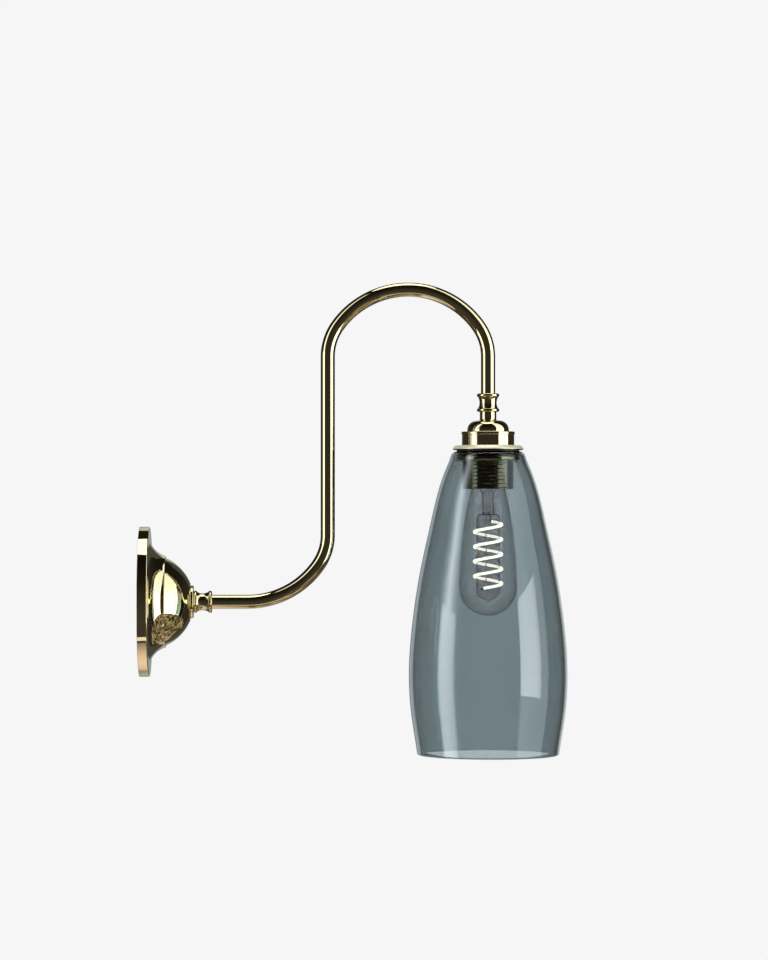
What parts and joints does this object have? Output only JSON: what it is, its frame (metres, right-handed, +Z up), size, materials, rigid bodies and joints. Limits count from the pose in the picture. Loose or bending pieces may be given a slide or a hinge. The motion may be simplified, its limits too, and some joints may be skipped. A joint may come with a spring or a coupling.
{
  "type": "swan neck wall light",
  "caption": "Wall light with a round domed wall plate, a swan neck tube, a screw lampholder and a tall smoked glass shade over a spiral filament bulb.",
  "frame": {"origin": "centre of the wall plate's back, on the wall, midway between the two wall screws", "axes": "+X straight out from the wall, +Z up, the arm and the lamp lie in the XZ plane"},
  "size_m": [0.3421, 0.1268, 0.3778],
  "materials": {
    "polished_brass": "polished and lacquered",
    "satin_brass": "satin, lacquered",
    "plain_brass": "turned, unpolished",
    "zinc_steel": "zinc plated",
    "smoked_glass": "smoked blue-grey, smooth and clear",
    "clear_glass": "clear",
    "porcelain": "glazed porcelain",
    "black_rubber": "matte",
    "cap_nickel": "nickel plated",
    "cap_insulation": "black glass insulation",
    "circuit_board": "solder masked board",
    "filament": "warm phosphor coating, lit",
    "block_plastic": "moulded",
    "flex_sheath": "white sheath",
    "live_brown": "brown insulation",
    "neutral_blue": "blue insulation",
    "earth_green": "green and yellow insulation"
  },
  "bodies": {
    "fixture": {"wall_plate": "polished_brass", "dome_cover": "polished_brass", "cover_flange": "polished_brass", "wall_coupling": "polished_brass", "arm_tube": "polished_brass", "lamp_coupling": "polished_brass", "lampholder_cap": "polished_brass", "lampholder_body": "polished_brass", "neck_screw": "polished_brass", "rim_screws": "polished_brass", "gallery_disc": "satin_brass", "wall_nipple": "plain_brass", "lamp_nipple": "plain_brass", "lock_nut": "plain_brass", "screw_shell": "plain_brass", "centre_contact": "plain_brass", "contact_rivets": "plain_brass", "lamp_terminals": "plain_brass", "cap_earth_pillar": "plain_brass", "block_clamps": "plain_brass", "earth_pillar": "plain_brass", "wall_strap": "zinc_steel", "bridge": "zinc_steel", "bridge_screws": "zinc_steel", "lock_washer": "zinc_steel", "lamp_terminal_screws": "zinc_steel", "cap_earth_screw": "zinc_steel", "block_clamp_screws": "zinc_steel", "block_screw": "zinc_steel", "earth_screw": "zinc_steel", "lamp_core": "porcelain", "terminal_block": "block_plastic", "inner_flex": "flex_sheath", "live_core": "live_brown", "neutral_core": "neutral_blue", "earth_core": "earth_green"},
    "shade": {"glass_shade": "smoked_glass", "upper_gasket": "black_rubber", "lower_gasket": "black_rubber"},
    "ring": {"shade_ring": "polished_brass"},
    "bulb_foot": {"bulb_cap_insulator": "cap_insulation", "bulb_tip_contact": "plain_brass"},
    "bulb": {"bulb_cap": "cap_nickel", "bulb_glass": "clear_glass", "bulb_stem": "clear_glass", "bulb_driver_board": "circuit_board", "filament": "filament", "filament_sleeves": "cap_nickel", "lead_wires": "cap_nickel"}
  },
  "joints": [
    {"name": "shade_lower", "type": "slide", "parent": "fixture", "child": "shade", "axis": [0, 0, -1], "range_m": [0, 0.018]},
    {"name": "ring_turn", "type": "hinge", "parent": "shade", "child": "ring", "pos_m": [0.2787, 0, 0.1147], "axis": [0, 0, -1], "range_deg": [0, 2161]},
    {"name": "bulb_lower", "type": "slide", "parent": "fixture", "child": "bulb_foot", "axis": [0, 0, -1], "range_m": [0, 0.01452]},
    {"name": "bulb_turn", "type": "hinge", "parent": "bulb_foot", "child": "bulb", "pos_m": [0.2787, 0, 0.1134], "axis": [0, 0, -1], "range_deg": [0, 1441]}
  ],
  "couplings": [
    {"joint": "ring_turn", "follows": "shade_lower", "rad_per_m": 2094.4},
    {"joint": "bulb_turn", "follows": "bulb_lower", "rad_per_m": 1730.9}
  ]
}
